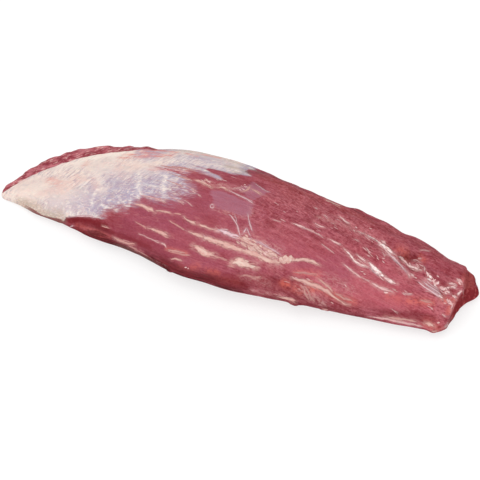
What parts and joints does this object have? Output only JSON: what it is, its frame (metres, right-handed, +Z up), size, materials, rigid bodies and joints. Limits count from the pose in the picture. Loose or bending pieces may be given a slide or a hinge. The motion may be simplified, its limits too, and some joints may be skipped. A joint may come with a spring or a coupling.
{
  "type": "beef teres major",
  "caption": "Whole long tapered shoulder muscle of beef, thin silverskin-covered tip at one end and a square knife cut at the other.",
  "frame": {"origin": "on the resting plane, under the middle of the bounding box", "axes": "+X from the thin silverskin-covered tip to the knife cut, +Y across the muscle towards its rough back edge, +Z up from the flat underside"},
  "size_m": [0.2516, 0.0794, 0.0365],
  "materials": {
    "meat": "moist raw lean beef with cream to lavender silverskin over the thin end and thin fat seams"
  },
  "bodies": {
    "root": {"muscle": "meat"}
  },
  "joints": []
}
